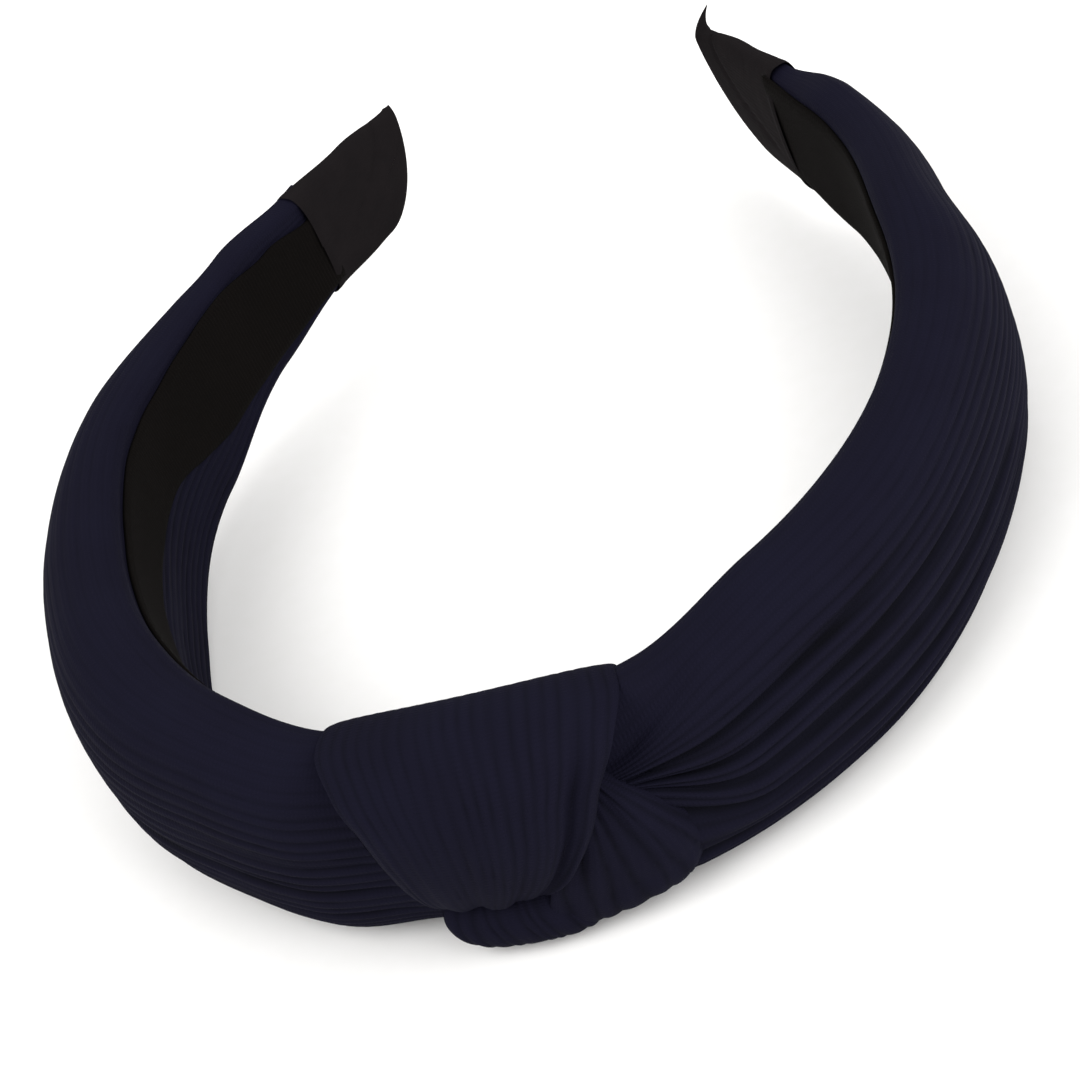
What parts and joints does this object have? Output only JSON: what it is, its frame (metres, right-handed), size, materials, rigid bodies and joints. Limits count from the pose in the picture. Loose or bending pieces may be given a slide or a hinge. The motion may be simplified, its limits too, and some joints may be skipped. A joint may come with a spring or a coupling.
{
  "type": "knotted headband",
  "caption": "Padded hard headband in ribbed knit with a knotted crown, black lining and black pointed tip caps; both arms flex open.",
  "frame": {"origin": "under the middle of the wearer's head, in the plane that the band's lower edge rests on", "axes": "+Z across the band's width, -Y out of the knot, +Y towards the open end between the tips"},
  "size_m": [0.1462, 0.173, 0.0383],
  "materials": {
    "rib_knit": "matt navy rib knit",
    "lining_ribbon": "matt black grosgrain ribbon",
    "cap_ribbon": "matt black ribbon folded over the end",
    "foam": "open-cell polyurethane foam sheet",
    "core_plastic": "moulded flexible plastic",
    "hot_melt": "hot-melt adhesive",
    "thread": "polyester sewing thread"
  },
  "bodies": {
    "crown": {"core_crown": "core_plastic", "foam_crown": "foam", "knot_inner_strand": "rib_knit", "knot_front_loop": "rib_knit", "knot_under_strand": "rib_knit", "knot_lower_fold": "rib_knit", "knot_back_wrap": "rib_knit", "liner_crown": "lining_ribbon", "knot_glue_pad": "hot_melt", "knot_tack_stitches": "thread"},
    "left_arm": {"core_left_arm": "core_plastic", "foam_left": "foam", "cover_left": "rib_knit", "liner_left": "lining_ribbon", "tip_cap_left": "cap_ribbon", "tip_glue_left": "hot_melt", "seam_stitches_left": "thread"},
    "right_arm": {"core_right_arm": "core_plastic", "foam_right": "foam", "cover_right": "rib_knit", "liner_right": "lining_ribbon", "tip_cap_right": "cap_ribbon", "tip_glue_right": "hot_melt", "seam_stitches_right": "thread"}
  },
  "joints": [
    {"name": "left_arm_flex", "type": "hinge", "parent": "crown", "child": "left_arm", "pos_m": [-0.0158, -0.08181, 0.019], "axis": [0, 0, 1], "range_deg": [-4, 14], "stiffness_Nm_per_rad": 1.4},
    {"name": "right_arm_flex", "type": "hinge", "parent": "crown", "child": "right_arm", "pos_m": [0.0158, -0.08181, 0.019], "axis": [0, 0, -1], "range_deg": [-4, 14], "stiffness_Nm_per_rad": 1.4}
  ]
}
